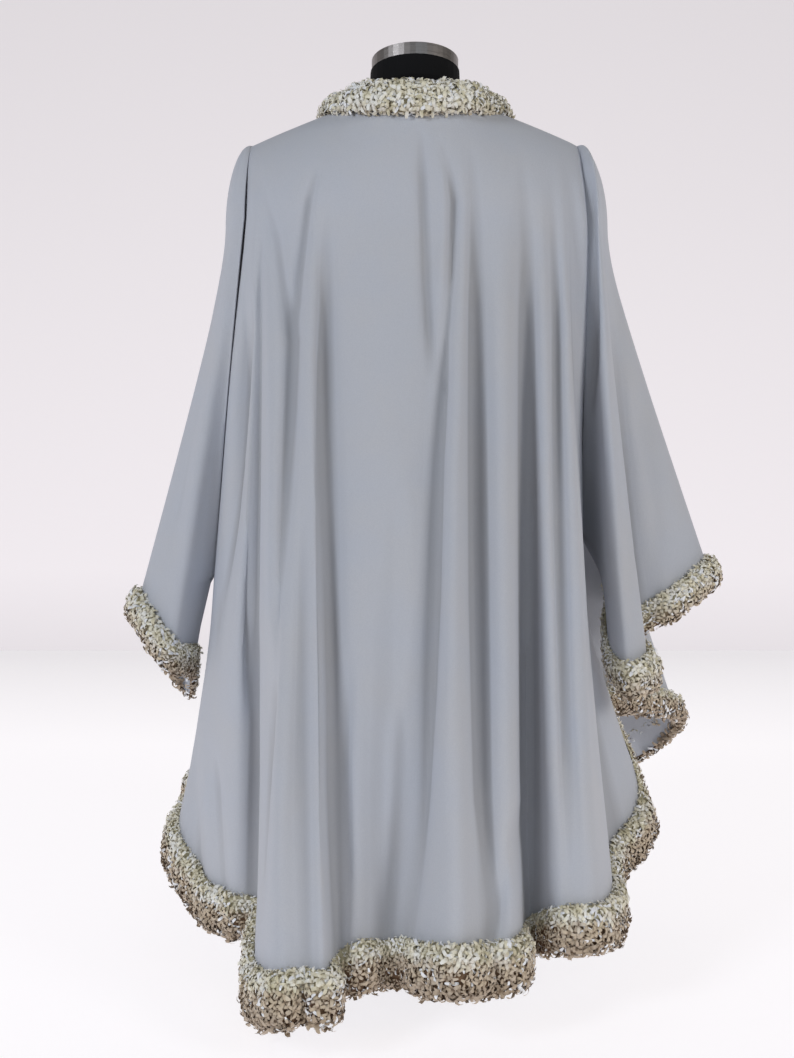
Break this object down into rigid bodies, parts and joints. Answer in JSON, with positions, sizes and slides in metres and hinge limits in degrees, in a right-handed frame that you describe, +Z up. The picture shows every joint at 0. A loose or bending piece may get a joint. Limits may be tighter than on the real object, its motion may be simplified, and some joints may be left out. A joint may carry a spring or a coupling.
{
  "type": "burnous cloak on dress form",
  "caption": "Ivory felted-wool burnous cloak, open in front, with wide hanging sleeves and fluffy cream trim at every edge, on a black limbless dress form with a steel neck ring",
  "frame": {"origin": "middle of the base's underside, where the stand rests on the floor", "axes": "+Z up, the cloak's back faces -Y, its open front faces +Y, and +X is the wearer's right"},
  "size_m": [0.8052, 0.6597, 1.1561],
  "materials": {
    "wool": "soft felted wool",
    "fluff": "fluffy tufts with satin flecks",
    "jersey": "matt black jersey",
    "steel": "brushed",
    "stand": "satin black"
  },
  "bodies": {
    "root": {"cloak_back": "wool", "cloak_front_left": "wool", "cloak_front_right": "wool", "sleeve_left": "wool", "sleeve_right": "wool", "trim_neck": "fluff", "trim_hem_back": "fluff", "trim_hem_left": "fluff", "trim_hem_right": "fluff", "trim_front_left": "fluff", "trim_front_right": "fluff", "trim_cuff_left": "fluff", "trim_cuff_right": "fluff", "form_body": "jersey", "form_cap": "jersey", "form_ring": "steel", "stand_pole": "stand", "stand_base": "stand"}
  },
  "joints": []
}
